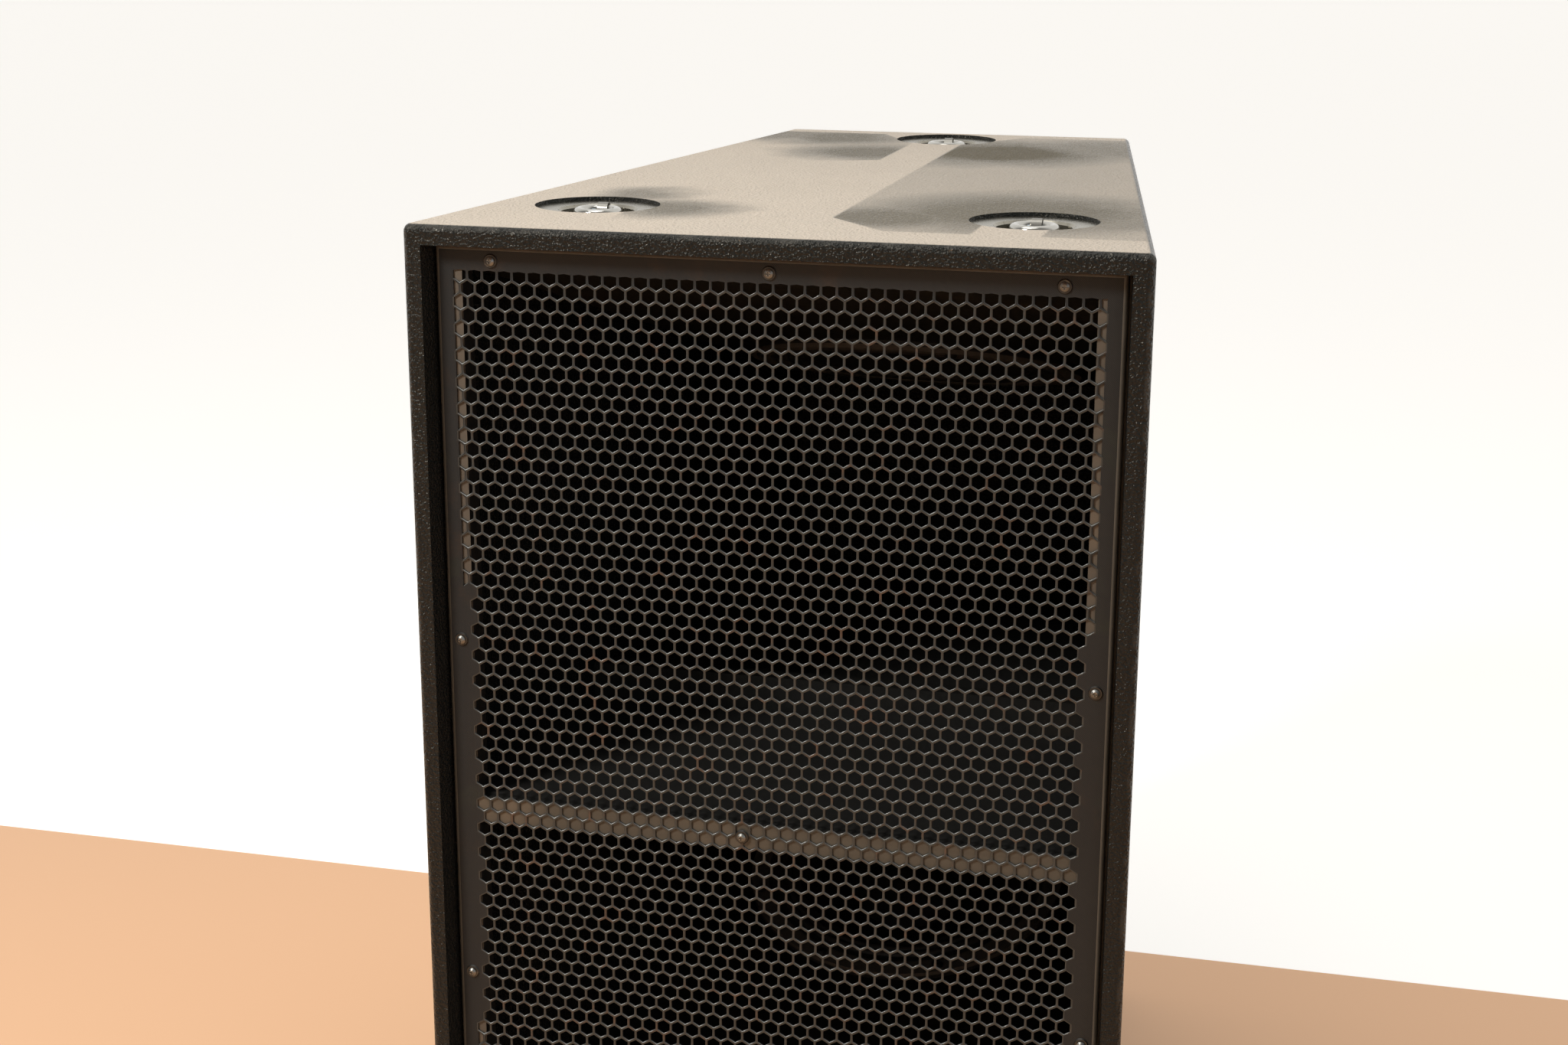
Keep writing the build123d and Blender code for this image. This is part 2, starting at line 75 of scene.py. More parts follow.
# ================= camera and light =================
def make_camera():
    """A slightly raised view from the front right, as if from a person's chest."""
    azimuth, pitch, roll = radians(14.226), radians(15.135), radians(0.239)
    from_front_top = Vector((0.4086, -1.5502, 0.2299))
    look = Vector((-sin(azimuth) * cos(pitch), cos(azimuth) * cos(pitch), -sin(pitch)))
    level = Vector((cos(azimuth), sin(azimuth), 0))
    upright = level.cross(look)
    right = level * cos(roll) + upright * sin(roll)
    up = upright * cos(roll) - level * sin(roll)
    data = bpy.data.cameras.new("camera")
    data.sensor_width = 36
    data.lens = 53.36
    camera = bpy.data.objects.new("camera", data)
    place = Vector((0, FRONT_Y, TOP_Z)) + from_front_top
    turn = Matrix((right, up, -look)).transposed().to_4x4()
    camera.matrix_world = Matrix.Translation(place) @ turn
    bpy.context.scene.collection.objects.link(camera)
    bpy.context.scene.camera = camera


def area_light(name, place, target, size, power, colour):
    data = bpy.data.lights.new(name, "AREA")
    data.shape = "RECTANGLE"
    data.size, data.size_y = size
    data.energy = power
    data.color = colour
    light = bpy.data.objects.new(name, data)
    light.location = place
    light.rotation_euler = (Vector(target) - Vector(place)).to_track_quat("-Z", "Y").to_euler()
    light.visible_camera = False
    bpy.context.scene.collection.objects.link(light)


def make_world():
    """A bright wall of light behind the object and a dimmer room in front of it."""
    world = bpy.data.worlds.new("studio")
    world.use_nodes = True
    tree = world.node_tree
    direction = tree.nodes.new("ShaderNodeTexCoord")
    axes = tree.nodes.new("ShaderNodeSeparateXYZ")
    ramp = tree.nodes.new("ShaderNodeMapRange")
    ramp.interpolation_type = "SMOOTHSTEP"
    ramp.inputs["From Min"].default_value = -0.35
    ramp.inputs["From Max"].default_value = 0.45
    ramp.inputs["To Min"].default_value = ROOM_LIGHT
    ramp.inputs["To Max"].default_value = WALL_LIGHT
    tree.links.new(direction.outputs["Generated"], axes.inputs[0])
    tree.links.new(axes.outputs["Y"], ramp.inputs["Value"])
    background = tree.nodes["Background"]
    background.inputs["Color"].default_value = (1.0, 0.985, 0.955, 1)
    tree.links.new(ramp.outputs["Result"], background.inputs["Strength"])
    bpy.context.scene.world = world


def make_light():
    bpy.context.scene.view_settings.view_transform = "Standard"
    make_world()
    corner = (-0.2, FRONT_Y, 0.8)
    area_light("key_softbox", (-1.15, -1.75, 2.15), corner, (0.5, 0.5), 40, (1.0, 0.98, 0.95))
    area_light("fill_softbox", (2.4, -2.2, 1.5), (0, 0, MID_Z), (1.6, 1.6), 9, (0.70, 0.85, 1.0))
    area_light("overhead_softbox", (-0.3, -0.5, 2.9), (0, -0.1, 0.9), (1.4, 1.4), 15, (1.0, 0.985, 0.96))


# ================= material graphs =================
class Graph:
    """A Principled material and short ways to feed it."""

    def __init__(self, name, colour=(0.5, 0.5, 0.5), roughness=0.5, metallic=0.0):
        self.material = bpy.data.materials.new(name)
        self.material.use_nodes = True
        self.tree = self.material.node_tree
        self.shader = self.tree.nodes["Principled BSDF"]
        self.set("Base Color", (*colour, 1))
        self.set("Roughness", roughness)
        self.set("Metallic", metallic)
        self.place = self.node("ShaderNodeTexCoord").outputs["Object"]

    def set(self, socket, value):
        self.shader.inputs[socket].default_value = value

    def feed(self, socket, source):
        self.tree.links.new(source, self.shader.inputs[socket])

    def node(self, kind, **settings):
        made = self.tree.nodes.new(kind)
        for key, value in settings.items():
            setattr(made, key, value)
        return made

    def wire(self, value, socket):
        if isinstance(value, bpy.types.NodeSocket):
            self.tree.links.new(value, socket)
        elif isinstance(value, tuple) and socket.type == "RGBA":
            socket.default_value = (*value, 1)
        else:
            socket.default_value = value

    def math(self, operation, a, b=0.0, clamp=False):
        made = self.node("ShaderNodeMath", operation=operation, use_clamp=clamp)
        self.wire(a, made.inputs[0])
        self.wire(b, made.inputs[1])
        return made.outputs[0]

    def stretched(self, factors):
        made = self.node("ShaderNodeMapping")
        self.wire(self.place, made.inputs["Vector"])
        made.inputs["Scale"].default_value = factors
        return made.outputs[0]

    def noise(self, scale, detail=3.0, roughness=0.5, stretch=None, distortion=0.0):
        made = self.node("ShaderNodeTexNoise")
        self.wire(self.stretched(stretch) if stretch else self.place, made.inputs["Vector"])
        made.inputs["Scale"].default_value = scale
        made.inputs["Detail"].default_value = detail
        made.inputs["Roughness"].default_value = roughness
        made.inputs["Distortion"].default_value = distortion
        return made.outputs["Fac"]

    def cells(self, scale, feature="F1"):
        made = self.node("ShaderNodeTexVoronoi", feature=feature)
        self.wire(self.place, made.inputs["Vector"])
        made.inputs["Scale"].default_value = scale
        return made.outputs["Distance"]

    def window(self, value, low, high):
        """0 below low, 1 above high, smooth between. high may be under low."""
        made = self.node("ShaderNodeMapRange", interpolation_type="SMOOTHSTEP")
        self.wire(value, made.inputs["Value"])
        made.inputs["From Min"].default_value = low
        made.inputs["From Max"].default_value = high
        return made.outputs["Result"]

    def between(self, value, low, high):
        """Maps 0..1 to low..high."""
        made = self.node("ShaderNodeMapRange")
        self.wire(value, made.inputs["Value"])
        made.inputs["To Min"].default_value = low
        made.inputs["To Max"].default_value = high
        return made.outputs["Result"]

    def mix(self, share, a, b):
        made = self.node("ShaderNodeMix", data_type="RGBA")
        self.wire(share, made.inputs[0])
        self.wire(a, made.inputs[6])
        self.wire(b, made.inputs[7])
        return made.outputs[2]

    def axes(self, vector):
        made = self.node("ShaderNodeSeparateXYZ")
        self.wire(vector, made.inputs[0])
        return made.outputs

    def normal(self):
        return self.axes(self.node("ShaderNodeNewGeometry").outputs["Normal"])

    def bump(self, height, strength, distance, before=None):
        made = self.node("ShaderNodeBump")
        made.inputs["Strength"].default_value = strength
        made.inputs["Distance"].default_value = distance
        self.wire(height, made.inputs["Height"])
        if before is not None:
            self.wire(before, made.inputs["Normal"])
        return made.outputs["Normal"]

    def edges(self):
        """1 on the rounded edges of the cabinet, 0 on its flat faces."""
        sides = [self.math("ABSOLUTE", axis) for axis in self.normal()]
        flat = self.math("MAXIMUM", self.math("MAXIMUM", sides[0], sides[1]), sides[2])
        return self.window(flat, 0.985, 0.86)


def splatter(graph, strength):
    """The pebbled skin of textured cabinet paint: drops about 2 mm across over a finer grain."""
    drops = graph.window(graph.cells(480), 0.62, 0.08)
    skin = graph.window(graph.noise(410, 1.5, 0.5), 0.34, 0.66)
    blobs = graph.math("ADD", graph.math("MULTIPLY", drops, 0.35), graph.math("MULTIPLY", skin, 0.65))
    grain = graph.noise(1300, 2.0, 0.6)
    first = graph.bump(blobs, strength, 1.0 * MM)
    return blobs, graph.bump(grain, strength * 0.4, 0.2 * MM, before=first)


# layout of the top's pale bands of dust and painted reflection and of its darker fields, in mm from the
# centre line and from the front edge
STRIP_LEFT, STRIP_RIGHT = -25, 22
FRONT_BAND_END, REAR_BAND_START = 57, 733
STRAP_INNER, STRAP_OUTER, STRAP_END = 135, 185, 110
FIELD_SOFT = 1.5 * MM           # width of the border of a darker field on the top


def darker_top_fields(g):
    """1 in the darker fields of the top, 0 on the pale bands between the rings and rims, which carry dust
    and a painted reflection of the bright wall.
    """
    x, y, _ = g.axes(g.place)
    wander = g.math("MULTIPLY", g.math("SUBTRACT", g.noise(14, 3.0, 0.6), 0.5), 60 * MM)
    xs, ys = g.math("ADD", x, wander), g.math("ADD", y, wander)

    def line(px, py, nx, ny):
        """Half-plane through a point, in mm from the middle of the front edge, on the side of a normal."""
        total = g.math("ADD", g.math("MULTIPLY", x, nx), g.math("MULTIPLY", y, ny))
        limit = nx * px * MM + ny * (FRONT_Y + py * MM)
        return g.window(total, limit - FIELD_SOFT, limit + FIELD_SOFT)

    def blob(cx, cy, radius, strength):
        dx = g.math("SUBTRACT", xs, cx * MM)
        dy = g.math("SUBTRACT", ys, FRONT_Y + cy * MM)
        apart = g.math("SQRT", g.math("ADD", g.math("MULTIPLY", dx, dx), g.math("MULTIPLY", dy, dy)))
        return g.math("MULTIPLY", g.window(apart, radius * MM, radius * 0.25 * MM), strength)

    def every(*shares):
        total = shares[0]
        for share in shares[1:]:
            total = g.math("MULTIPLY", total, share)
        return total

    def most(*shares):
        total = shares[0]
        for share in shares[1:]:
            total = g.math("MAXIMUM", total, share)
        return total

    strap = every(line(STRAP_INNER, 0, 1, 0), line(STRAP_OUTER, 0, -1, 0), line(0, STRAP_END, 0, -1))
    right = every(
        line(STRIP_RIGHT, 0, 1, 0), line(0, FRONT_BAND_END, 0, 1), line(STRIP_RIGHT, 117, 0.768, 0.640),
        line(0, REAR_BAND_START, 0, -1),
        line(45, 690, 0.847, -0.532), g.math("SUBTRACT", 1.0, strap),
        most(
            blob(70, 590, 190, 1.0), blob(150, 640, 150, 0.85), blob(150, 180, 200, 0.95),
            blob(60, 130, 110, 0.95), blob(230, 150, 90, 0.8), 0.34,
        ),
    )
    left_rear = every(
        line(STRIP_LEFT, 0, -1, 0), line(0, REAR_BAND_START, 0, -1), line(STRIP_LEFT, 503, -0.48, 0.877),
        line(-45, 690, -0.881, -0.471),
        most(blob(-50, 560, 110, 0.95), blob(-100, 690, 110, 0.95), blob(-160, 700, 90, 0.85)),
    )
    left_front = every(
        most(line(-135, 0, 1, 0), line(0, 105, 0, 1)), line(0, 50, 0, 1),
        most(blob(-110, 135, 75, 0.9), blob(-150, 215, 60, 0.8)),
    )
    return g.math("ADD", right, g.math("ADD", left_rear, left_front), clamp=True)


PAINT_ROUGHNESS = 0.21
PAINT_SHINE = 0.24              # specular level of the black paint
FIELD_SHINE = 0.002             # and in the darker fields of the top, whose warm sheen is painted into the base colour


def black_paint():
    g = Graph("black_paint", (0.02, 0.02, 0.018), 0.30)
    upward = g.window(g.normal()[2], 0.90, 0.995)
    darker_field = darker_top_fields(g)
    blobs, skin = splatter(g, 0.9)
    patches = g.noise(6.0, 5.0, 0.6)
    body = g.mix(patches, (0.009, 0.010, 0.010), (0.017, 0.018, 0.017))
    # rubbed edges: greyer paint, then chips down to wood
    rubbed = g.math("MULTIPLY", g.edges(), g.window(g.noise(38, 5.0, 0.7), 0.45, 0.62))
    body = g.mix(g.math("MULTIPLY", rubbed, 0.45), body, (0.070, 0.066, 0.058))
    chips = g.math("MULTIPLY", g.edges(), g.window(g.noise(75, 6.0, 0.75), 0.66, 0.69))
    body = g.mix(chips, body, (0.30, 0.20, 0.115))
    # pale dust on the top faces, which also carries a painted reflection of the bright wall; the darker
    # fields get a painted warm sheen instead
    pale_amount = g.between(g.noise(5.0, 5.0, 0.6, stretch=(1.0, 0.5, 1.0)), 0.76, 0.96)
    pale_amount = g.math("SUBTRACT", pale_amount, g.math("MULTIPLY", g.noise(420, 3.0, 0.6), 0.22))
    pale_cover = g.mix(darker_field, pale_amount, (0.02, 0.02, 0.02))
    dust_and_sheen = g.math("MULTIPLY", upward, pale_cover)
    warm_field_sheen = g.math("MULTIPLY", darker_field, upward)
    body = g.mix(warm_field_sheen, body, (0.105, 0.088, 0.056))
    body = g.mix(dust_and_sheen, body, (0.68, 0.58, 0.47))
    # scuffs from stacking and handling
    scuff = g.window(g.noise(24, 7.0, 0.72, stretch=(0.35, 1.0, 2.4), distortion=1.4), 0.66, 0.71)
    body = g.mix(g.math("MULTIPLY", scuff, 0.22), body, (0.16, 0.15, 0.135))
    # the underside of the top panel is painted warm brown: a painted reflection of the lit floor in front,
    # seen through the grille
    facing_down = g.window(g.normal()[2], -0.9, -0.99)
    ceiling = g.math("MULTIPLY", facing_down, g.window(g.axes(g.place)[2], MID_Z, TOP_Z))
    body = g.mix(ceiling, body, g.mix(patches, (0.20, 0.125, 0.070), (0.34, 0.215, 0.12)))
    g.feed("Base Color", body)
    g.set("Specular Tint", (1.0, 0.93, 0.80, 1))
    matt = g.math("ADD", g.math("MULTIPLY", dust_and_sheen, 0.35), g.math("MULTIPLY", patches, 0.12))
    matt = g.math("ADD", matt, g.math("MULTIPLY", blobs, -0.08))
    g.feed("Roughness", g.math("ADD", matt, PAINT_ROUGHNESS))
    g.feed("Specular IOR Level", g.between(warm_field_sheen, PAINT_SHINE, FIELD_SHINE))
    g.feed("Normal", skin)
    return g.material


def inner_paint():
    g = Graph("inner_paint", (0.03, 0.025, 0.02), 0.6)
    grain = g.noise(16, 5.0, 0.6, stretch=(9.0, 0.8, 9.0))
    thin = g.noise(5.0, 4.0, 0.6)
    body = g.mix(grain, (0.007, 0.007, 0.006), (0.016, 0.015, 0.012))
    body = g.mix(g.window(thin, 0.52, 0.70), body, (0.042, 0.030, 0.020))
    g.feed("Base Color", body)
    g.feed("Roughness", g.between(grain, 0.48, 0.72))
    g.feed("Normal", g.bump(grain, 0.25, 0.4 * MM))
    return g.material


def board(name, light, dark, painted_behind):
    """Bare ply or softwood. painted_behind leaves only the front-facing edge bare."""
    g = Graph(name, light, 0.62)
    grain = g.noise(30, 6.0, 0.65, stretch=(0.12, 1.0, 4.0), distortion=0.4)
    stain = g.noise(9.0, 4.0, 0.6)
    body = g.mix(grain, dark, light)
    body = g.mix(g.math("MULTIPLY", g.window(stain, 0.50, 0.70), 0.45), body, (0.20, 0.15, 0.10))
    rough = g.between(grain, 0.52, 0.74)
    if painted_behind:
        behind = g.window(g.normal()[1], -0.8, -0.4)
        body = g.mix(behind, body, (0.020, 0.019, 0.017))
    g.feed("Base Color", body)
    g.feed("Roughness", rough)
    g.feed("Normal", g.bump(grain, 0.3, 0.3 * MM))
    return g.material


def grille_paint():
    g = Graph("grille_paint", (0.05, 0.05, 0.045), 0.45, 0.1)
    cloud = g.noise(7.0, 5.0, 0.62)
    brushed = g.noise(150, 4.0, 0.6, stretch=(5.0, 1.0, 0.25))
    body = g.mix(cloud, (0.015, 0.017, 0.018), (0.027, 0.028, 0.028))
    rust = g.window(g.noise(13, 6.0, 0.7), 0.54, 0.68)
    body = g.mix(g.math("MULTIPLY", rust, 0.5), body, (0.050, 0.032, 0.022))
    green = g.window(g.noise(15, 5.0, 0.65, distortion=0.7), 0.58, 0.70)
    body = g.mix(g.math("MULTIPLY", green, 0.3), body, (0.034, 0.040, 0.028))
    body = g.mix(g.math("MULTIPLY", brushed, 0.25), body, (0.045, 0.045, 0.042))
    weave = g.node("ShaderNodeTexWave", bands_direction="DIAGONAL")
    g.wire(g.stretched((1.0, 0.0, 1.0)), weave.inputs["Vector"])
    weave.inputs["Scale"].default_value = 420
    g.feed("Base Color", body)
    g.feed("Roughness", g.between(brushed, 0.36, 0.52))
    g.set("Specular IOR Level", 0.3)
    first = g.bump(weave.outputs["Fac"], 0.35, 0.2 * MM)
    g.feed("Normal", g.bump(g.noise(600, 3.0, 0.6), 0.3, 0.12 * MM, before=first))
    return g.material


def grille_web():
    """The sheet between the punched holes, with a painted highlight on the rounded lips of the holes that
    face up towards the light.
    """
    g = Graph("grille_web", (0.09, 0.09, 0.085), 0.36, 0.4)
    cloud = g.noise(26, 5.0, 0.7)
    body = g.mix(cloud, (0.038, 0.041, 0.039), (0.082, 0.086, 0.082))
    # painted highlight: the upward-facing lips are made paler
    upward_lip_highlight = g.window(g.normal()[2], 0.15, 0.75)
    body = g.mix(g.math("MULTIPLY", upward_lip_highlight, 0.8), body, (0.36, 0.365, 0.35))
    rust = g.window(g.noise(33, 6.0, 0.72), 0.55, 0.66)
    body = g.mix(g.math("MULTIPLY", rust, 0.5), body, (0.16, 0.095, 0.062))
    g.feed("Base Color", body)
    g.feed("Roughness", g.between(cloud, 0.26, 0.44))
    return g.material


def grille_fold():
    """The rolled outer edge of the sheet, painted paler than the flat margin: a painted highlight where
    the rounded fold catches the light.
    """
    g = Graph("grille_fold", (0.13, 0.13, 0.12), 0.40, 0.3)
    cloud = g.noise(18, 5.0, 0.7)
    # painted highlight on the rounded fold
    body = g.mix(cloud, (0.085, 0.083, 0.070), (0.19, 0.18, 0.155))
    g.feed("Base Color", body)
    g.feed("Roughness", g.between(cloud, 0.34, 0.52))
    return g.material


def bright_metal(name, colour, roughness, scratches=0.5, tarnish=(0.32, 0.30, 0.25), amount=0.35):
    g = Graph(name, colour, roughness, 1.0)
    haze = g.noise(42, 5.0, 0.66)
    lines = g.noise(210, 4.0, 0.7, stretch=(1.0, 7.0, 1.0), distortion=0.3)
    spots = g.window(g.noise(130, 5.0, 0.7), 0.56, 0.68)
    body = g.mix(g.math("MULTIPLY", spots, amount), colour, tarnish)
    g.feed("Base Color", body)
    g.feed("Roughness", g.between(haze, roughness * 0.65, roughness * 1.5))
    g.feed("Normal", g.bump(lines, 0.12 * scratches, 0.05 * MM))
    return g.material


def coated_metal(name, colour, roughness, wear=(0.22, 0.22, 0.21)):
    g = Graph(name, colour, roughness, 0.0)
    grain = g.noise(900, 3.0, 0.6)
    cloud = g.noise(14, 5.0, 0.6)
    darker = tuple(channel * 0.7 for channel in colour)
    body = g.mix(cloud, darker, colour)
    rub = g.window(g.noise(60, 6.0, 0.75), 0.64, 0.70)
    body = g.mix(g.math("MULTIPLY", rub, 0.6), body, wear)
    g.feed("Base Color", body)
    g.feed("Roughness", g.between(cloud, roughness * 0.8, roughness * 1.2))
    g.feed("Normal", g.bump(grain, 0.3, 0.1 * MM))
    return g.material


def rubber():
    g = Graph("rubber", (0.02, 0.02, 0.02), 0.7)
    cloud = g.noise(60, 5.0, 0.65)
    g.feed("Base Color", g.mix(cloud, (0.014, 0.014, 0.014), (0.045, 0.043, 0.040)))
    g.feed("Roughness", g.between(cloud, 0.58, 0.82))
    g.feed("Normal", g.bump(g.noise(700, 2.0, 0.5), 0.25, 0.1 * MM))
    return g.material


def moulded_plastic():
    g = Graph("socket_plastic", (0.02, 0.02, 0.022), 0.45)
    fine = g.noise(1300, 2.0, 0.5)
    cloud = g.noise(50, 4.0, 0.6)
    g.feed("Base Color", g.mix(cloud, (0.014, 0.014, 0.016), (0.030, 0.030, 0.032)))
    g.feed("Roughness", g.between(cloud, 0.36, 0.55))
    g.feed("Normal", g.bump(fine, 0.2, 0.06 * MM))
    return g.material


def fibrous(name, light, dark, scale, roughness):
    """Pressed pulp, paper or cloth: a tangle of fibres over a soft stain."""
    g = Graph(name, light, roughness)
    fibres = g.noise(scale, 6.0, 0.75, distortion=2.2)
    stain = g.noise(20, 4.0, 0.6)
    body = g.mix(fibres, dark, light)
    body = g.mix(g.math("MULTIPLY", stain, 0.35), body, dark)
    g.feed("Base Color", body)
    g.feed("Roughness", g.between(fibres, roughness - 0.1, min(1.0, roughness + 0.12)))
    g.feed("Normal", g.bump(fibres, 0.4, 0.25 * MM))
    return g.material


def wound_wire():
    g = Graph("coil_wire", (0.62, 0.30, 0.16), 0.32, 0.9)
    turns = g.node("ShaderNodeTexWave", bands_direction="Z")
    g.wire(g.place, turns.inputs["Vector"])
    turns.inputs["Scale"].default_value = 900
    body = g.mix(turns.outputs["Fac"], (0.30, 0.13, 0.07), (0.72, 0.38, 0.20))
    g.feed("Base Color", body)
    g.feed("Normal", g.bump(turns.outputs["Fac"], 0.5, 0.2 * MM))
    return g.material


def ceramic():
    g = Graph("ferrite", (0.05, 0.05, 0.055), 0.55)
    cloud = g.noise(80, 6.0, 0.7)
    g.feed("Base Color", g.mix(cloud, (0.030, 0.030, 0.034), (0.085, 0.085, 0.090)))
    g.feed("Roughness", g.between(cloud, 0.42, 0.66))
    g.feed("Normal", g.bump(cloud, 0.3, 0.3 * MM))
    return g.material


def make_materials():
    """One material for each slot in the record."""
    return {
        "black_paint": black_paint(),
        "inner_paint": inner_paint(),
        "bare_board": board("bare_board", (0.125, 0.105, 0.078), (0.075, 0.060, 0.045), True),
        "divider_board": board("divider_board", (0.105, 0.090, 0.066), (0.062, 0.052, 0.038), True),
        "grille_paint": grille_paint(),
        "zinc_screws": bright_metal("zinc_screws", (0.26, 0.255, 0.235), 0.42, 0.4),
        "cup_washers": bright_metal("cup_washers", (0.085, 0.083, 0.078), 0.46, 0.6),
        "pan_metal": bright_metal("pan_metal", (0.33, 0.31, 0.26), 0.25, 1.0, (0.14, 0.125, 0.095), 0.6),
        "ring_metal": bright_metal("ring_metal", (0.52, 0.51, 0.475), 0.14, 0.5, (0.20, 0.185, 0.15), 0.4),
        "saddle_metal": bright_metal("saddle_metal", (0.26, 0.25, 0.225), 0.32, 0.8),
        "rubber": rubber(),
        "backing_steel": bright_metal("backing_steel", (0.22, 0.22, 0.22), 0.45, 1.0),
        "black_screws": coated_metal("black_screws", (0.035, 0.035, 0.035), 0.38),
        "handle_paint": coated_metal("handle_paint", (0.028, 0.028, 0.027), 0.40),
        "grip_steel": bright_metal("grip_steel", (0.50, 0.49, 0.46), 0.30, 1.0),
        "plate_paint": coated_metal("plate_paint", (0.026, 0.026, 0.026), 0.42),
        "socket_plastic": moulded_plastic(),
        "contact_brass": bright_metal("contact_brass", (0.62, 0.47, 0.22), 0.25, 0.5),
        "basket_paint": coated_metal("basket_paint", (0.05, 0.05, 0.05), 0.36),
        "gasket_cork": fibrous("gasket_cork", (0.23, 0.205, 0.175), (0.12, 0.105, 0.09), 190, 0.72),
        "surround_cloth": fibrous("surround_cloth", (0.10, 0.095, 0.088), (0.045, 0.042, 0.04), 420, 0.42),
        "cone_paper": fibrous("cone_paper", (0.060, 0.057, 0.052), (0.026, 0.025, 0.023), 240, 0.6),
        "dust_cap_paper": fibrous("dust_cap_paper", (0.11, 0.105, 0.098), (0.05, 0.047, 0.044), 300, 0.38),
        "spider_cloth": fibrous("spider_cloth", (0.52, 0.38, 0.17), (0.36, 0.25, 0.10), 500, 0.6),
        "coil_wire": wound_wire(),
        "pole_steel": bright_metal("pole_steel", (0.42, 0.42, 0.40), 0.34, 1.0),
        "ferrite": ceramic(),
    }


def dress(materials):
    """Every carried-over node takes the material of its slot."""
    for part in frame["record"]["subparts"]:
        node = frame["nodes"][part["node"]]
        node.data.materials.clear()
        node.data.materials.append(materials[part["material_slot"]])


# ================= grille =================
HEX_PITCH = 11.48 * MM          # hole centres along a row
ROW_PITCH = 10.03 * MM
HEX_ACROSS = 9.6 * MM           # flat to flat of a hole
HEX_HEIGHT = ROW_PITCH * 4 / 3  # point to point of one cell
FIRST_ROW = 38.3 * MM           # below the top of the cabinet
LAST_HOLE_X = 237.3 * MM        # edge of the punched field in its tall outer columns
OUTER_COLUMN_END = 277 * MM     # how far down from the top the outer columns reach
FIELD_EDGE = 34.0 * MM          # the punching stops this far from the cabinet's top
SHEET = 1.5 * MM
FOLD_R = 3.0 * MM
LIP = 0.4 * MM                  # rounding of each hole's front edge
FOLD_STEPS = 5
COLUMNS = 23                    # cells laid out on each side of the middle, then cut to the sheet
REGULAR_COLUMNS = 20.2          # pitches from the middle that are punched over the whole height
ON_EDGE = 1e-6
SMOOTH_BELOW = 50               # degrees between faces
FLAT, WEB, FOLD = 0, 1, 2       # material indices of the sheet


def hex_corners(x, z, across, height):
    """Six corners of a point-up hexagon, from the top, clockwise."""
    half, quarter = across / 2, height / 4
    return [
        (x, z + 2 * quarter), (x + half, z + quarter), (x + half, z - quarter),
        (x, z - 2 * quarter), (x - half, z - quarter), (x - half, z + quarter),
    ]


def is_punched(x, z):
    """Whether the sheet has a hole at this cell."""
    from_end = min(TOP_Z - z, z)
    if from_end < FIRST_ROW - MM:
        return False
    regular = abs(x) < REGULAR_COLUMNS * HEX_PITCH - HEX_PITCH / 4
    outer = abs(x) < LAST_HOLE_X + 1 * MM and from_end < OUTER_COLUMN_END
    return regular or outer


def clipped(corner):
    """Keeps a hole's corner inside the punched field."""
    x, z = corner
    x = max(-LAST_HOLE_X, min(LAST_HOLE_X, x))
    return x, max(FIELD_EDGE, min(TOP_Z - FIELD_EDGE, z))


def cells():
    """Centres of every cell of the sheet, punched or not."""
    rows = round((MID_Z - FIRST_ROW) / ROW_PITCH - 0.5)
    for row in range(-rows - 4, rows + 6):
        z = MID_Z + (row - 0.5) * ROW_PITCH
        shift = HEX_PITCH / 4 * (-1 if row % 2 else 1)
        for column in range(-COLUMNS, COLUMNS + 1):
            yield (column + 0.5) * HEX_PITCH + shift, z


def grow_fold(mesh, front, back, low, high):
    """Lays out the vertex rings that roll the sheet's cut edge back over the fold; the caller joins them
    into faces and closes the fold.
    """
    inner = FOLD_R - SHEET
    flange_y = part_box("grille")[1].y
    y0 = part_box("grille")[0].y
    rings = []
    for edge_loop, radius, face_y in ((front, FOLD_R, y0), (back, inner, y0 + SHEET)):
        levels = [dict((v, v) for v in edge_loop)]
        for step in range(1, FOLD_STEPS + 2):
            angle = min(step, FOLD_STEPS) / FOLD_STEPS * pi / 2
            ring = {}
            for v in edge_loop:
                sx = (v.co.x > high[0] - ON_EDGE) - (v.co.x < low[0] + ON_EDGE)
                sz = (v.co.z > high[1] - ON_EDGE) - (v.co.z < low[1] + ON_EDGE)
                out = radius * sin(angle)
                y = face_y + radius * (1 - cos(angle)) if step <= FOLD_STEPS else flange_y
                ring[v] = mesh.verts.new((v.co.x + sx * out, y, v.co.z + sz * out))
            levels.append(ring)
        rings.append(levels)
    return rings


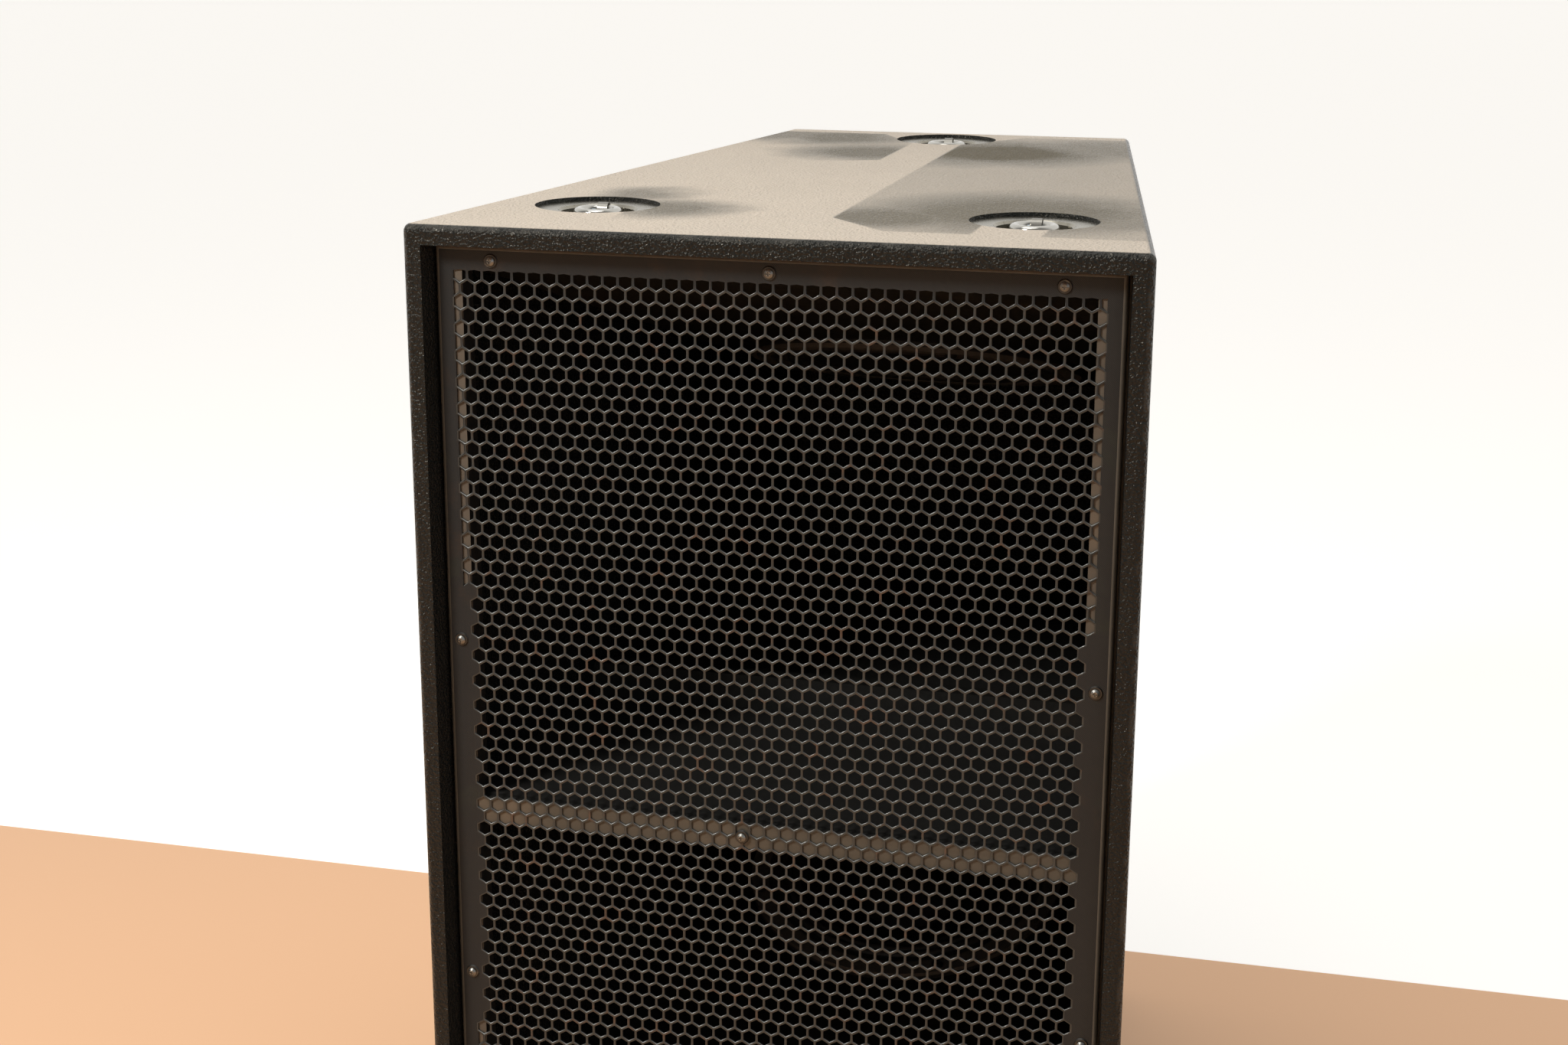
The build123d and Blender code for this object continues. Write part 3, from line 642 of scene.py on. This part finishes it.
def make_grille(paint):
    low_corner, high_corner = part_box("grille")
    low = (low_corner.x + FOLD_R, low_corner.z + FOLD_R)
    high = (high_corner.x - FOLD_R, high_corner.z - FOLD_R)
    y0 = low_corner.y
    mesh = bmesh.new()
    known = {}

    def vertex(x, y, z):
        key = (round(x * 1e5), round(y * 1e6), round(z * 1e5))
        if key not in known:
            known[key] = mesh.verts.new((x, y, z))
        return known[key]

    def quad(corners, material):
        ring = []
        for v in corners:
            if v not in ring:
                ring.append(v)
        if len(ring) > 2:
            face = mesh.faces.new(ring)
            face.material_index = material

    for x, z in cells():
        outer = hex_corners(x, z, HEX_PITCH, HEX_HEIGHT)
        front = [vertex(a, y0, b) for a, b in outer]
        back = [vertex(a, y0 + SHEET, b) for a, b in outer]
        if not is_punched(x, z):
            mesh.faces.new(front)
            mesh.faces.new(back[::-1])
            continue
        hole_height = HEX_ACROSS / HEX_PITCH * HEX_HEIGHT
        grown = 1 + 2 * LIP / HEX_ACROSS
        hole = [clipped(c) for c in hex_corners(x, z, HEX_ACROSS, hole_height)]
        wide = [clipped(c) for c in hex_corners(x, z, HEX_ACROSS * grown, hole_height * grown)]
        rings = [
            front,
            [vertex(a, y0, b) for a, b in wide],
            [vertex(a, y0 + LIP, b) for a, b in hole],
            [vertex(a, y0 + SHEET, b) for a, b in hole],
            back,
        ]
        whole = hole == hex_corners(x, z, HEX_ACROSS, hole_height)
        for level, (first, second) in enumerate(zip(rings, rings[1:])):
            web = level == 1 or level == 0 and whole
            for i in range(6):
                j = (i + 1) % 6
                quad((first[i], first[j], second[j], second[i]), WEB if web else FLAT)

    for axis, limit, side in ((0, low[0], -1), (0, high[0], 1), (2, low[1], -1), (2, high[1], 1)):
        point, direction = Vector((0, 0, 0)), Vector((0, 0, 0))
        point[axis], direction[axis] = limit, side
        everything = mesh.verts[:] + mesh.edges[:] + mesh.faces[:]
        bmesh.ops.bisect_plane(
            mesh, geom=everything, dist=1e-7, plane_co=point, plane_no=direction, clear_outer=True,
        )
    mesh.verts.ensure_lookup_table()
    rim_edges = [e for e in mesh.edges if e.is_boundary]
    front_edges = [e for e in rim_edges if e.verts[0].co.y < y0 + SHEET / 2]
    back_edges = [e for e in rim_edges if e.verts[0].co.y > y0 + SHEET / 2]
    front_loop = {v for e in front_edges for v in e.verts}
    back_loop = {v for e in back_edges for v in e.verts}
    front_levels, back_levels = grow_fold(mesh, front_loop, back_loop, low, high)
    for edges, levels in ((front_edges, front_levels), (back_edges, back_levels)):
        for e in edges:
            a, b = e.verts
            for first, second in zip(levels, levels[1:]):
                mesh.faces.new((first[a], first[b], second[b], second[a])).material_index = FOLD
    place = {(round(v.co.x, 5), round(v.co.z, 5)): v for v in back_loop}
    for e in front_edges:
        a, b = e.verts
        pair = [place.get((round(v.co.x, 5), round(v.co.z, 5))) for v in (a, b)]
        if all(pair):
            first, second = front_levels[-1], back_levels[-1]
            mesh.faces.new((first[a], first[b], second[pair[1]], second[pair[0]]))
    bmesh.ops.recalc_face_normals(mesh, faces=mesh.faces[:])
    return finish_mesh("grille_sheet", mesh, [paint, grille_web(), grille_fold()], SMOOTH_BELOW)


def finish_mesh(name, mesh, materials, smooth_degrees):
    """Turns a bmesh into a linked object, smooth below the given angle between faces."""
    data = bpy.data.meshes.new(name)
    for face in mesh.faces:
        face.smooth = True
    limit = radians(smooth_degrees)
    for edge in mesh.edges:
        if len(edge.link_faces) == 2:
            edge.smooth = edge.calc_face_angle(pi) < limit
    mesh.to_mesh(data)
    mesh.free()
    for material in materials:
        data.materials.append(material)
    made = bpy.data.objects.new(name, data)
    bpy.context.scene.collection.objects.link(made)
    return made


# ================= floor =================
def make_floor():
    """Pale floor, with white backdrop paper lying on it behind the object."""
    g = Graph("floor", (0.78, 0.60, 0.42), 0.5)
    paper = g.window(g.axes(g.place)[1], PAPER_EDGE_Y, PAPER_EDGE_Y + 2 * MM)
    g.feed("Base Color", g.mix(paper, (0.80, 0.46, 0.25), (0.92, 0.90, 0.87)))
    g.feed("Roughness", g.between(paper, 0.45, 0.9))
    g.feed("Emission Color", g.mix(paper, (1.0, 0.60, 0.34), (1.0, 0.98, 0.95)))
    g.feed("Emission Strength", g.between(paper, FLOOR_GLOW, PAPER_GLOW))
    bpy.ops.mesh.primitive_plane_add(size=FLOOR_SIZE, location=(0, 0, CAD_LOW.z))
    floor = bpy.context.object
    floor.name = "floor"
    floor.data.materials.append(g.material)


# ================= assembly =================
make_camera()
make_light()
make_floor()
materials = make_materials()
dress(materials)

grille = make_grille(materials["grille_paint"])
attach(grille, "cabinet")
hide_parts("grille")
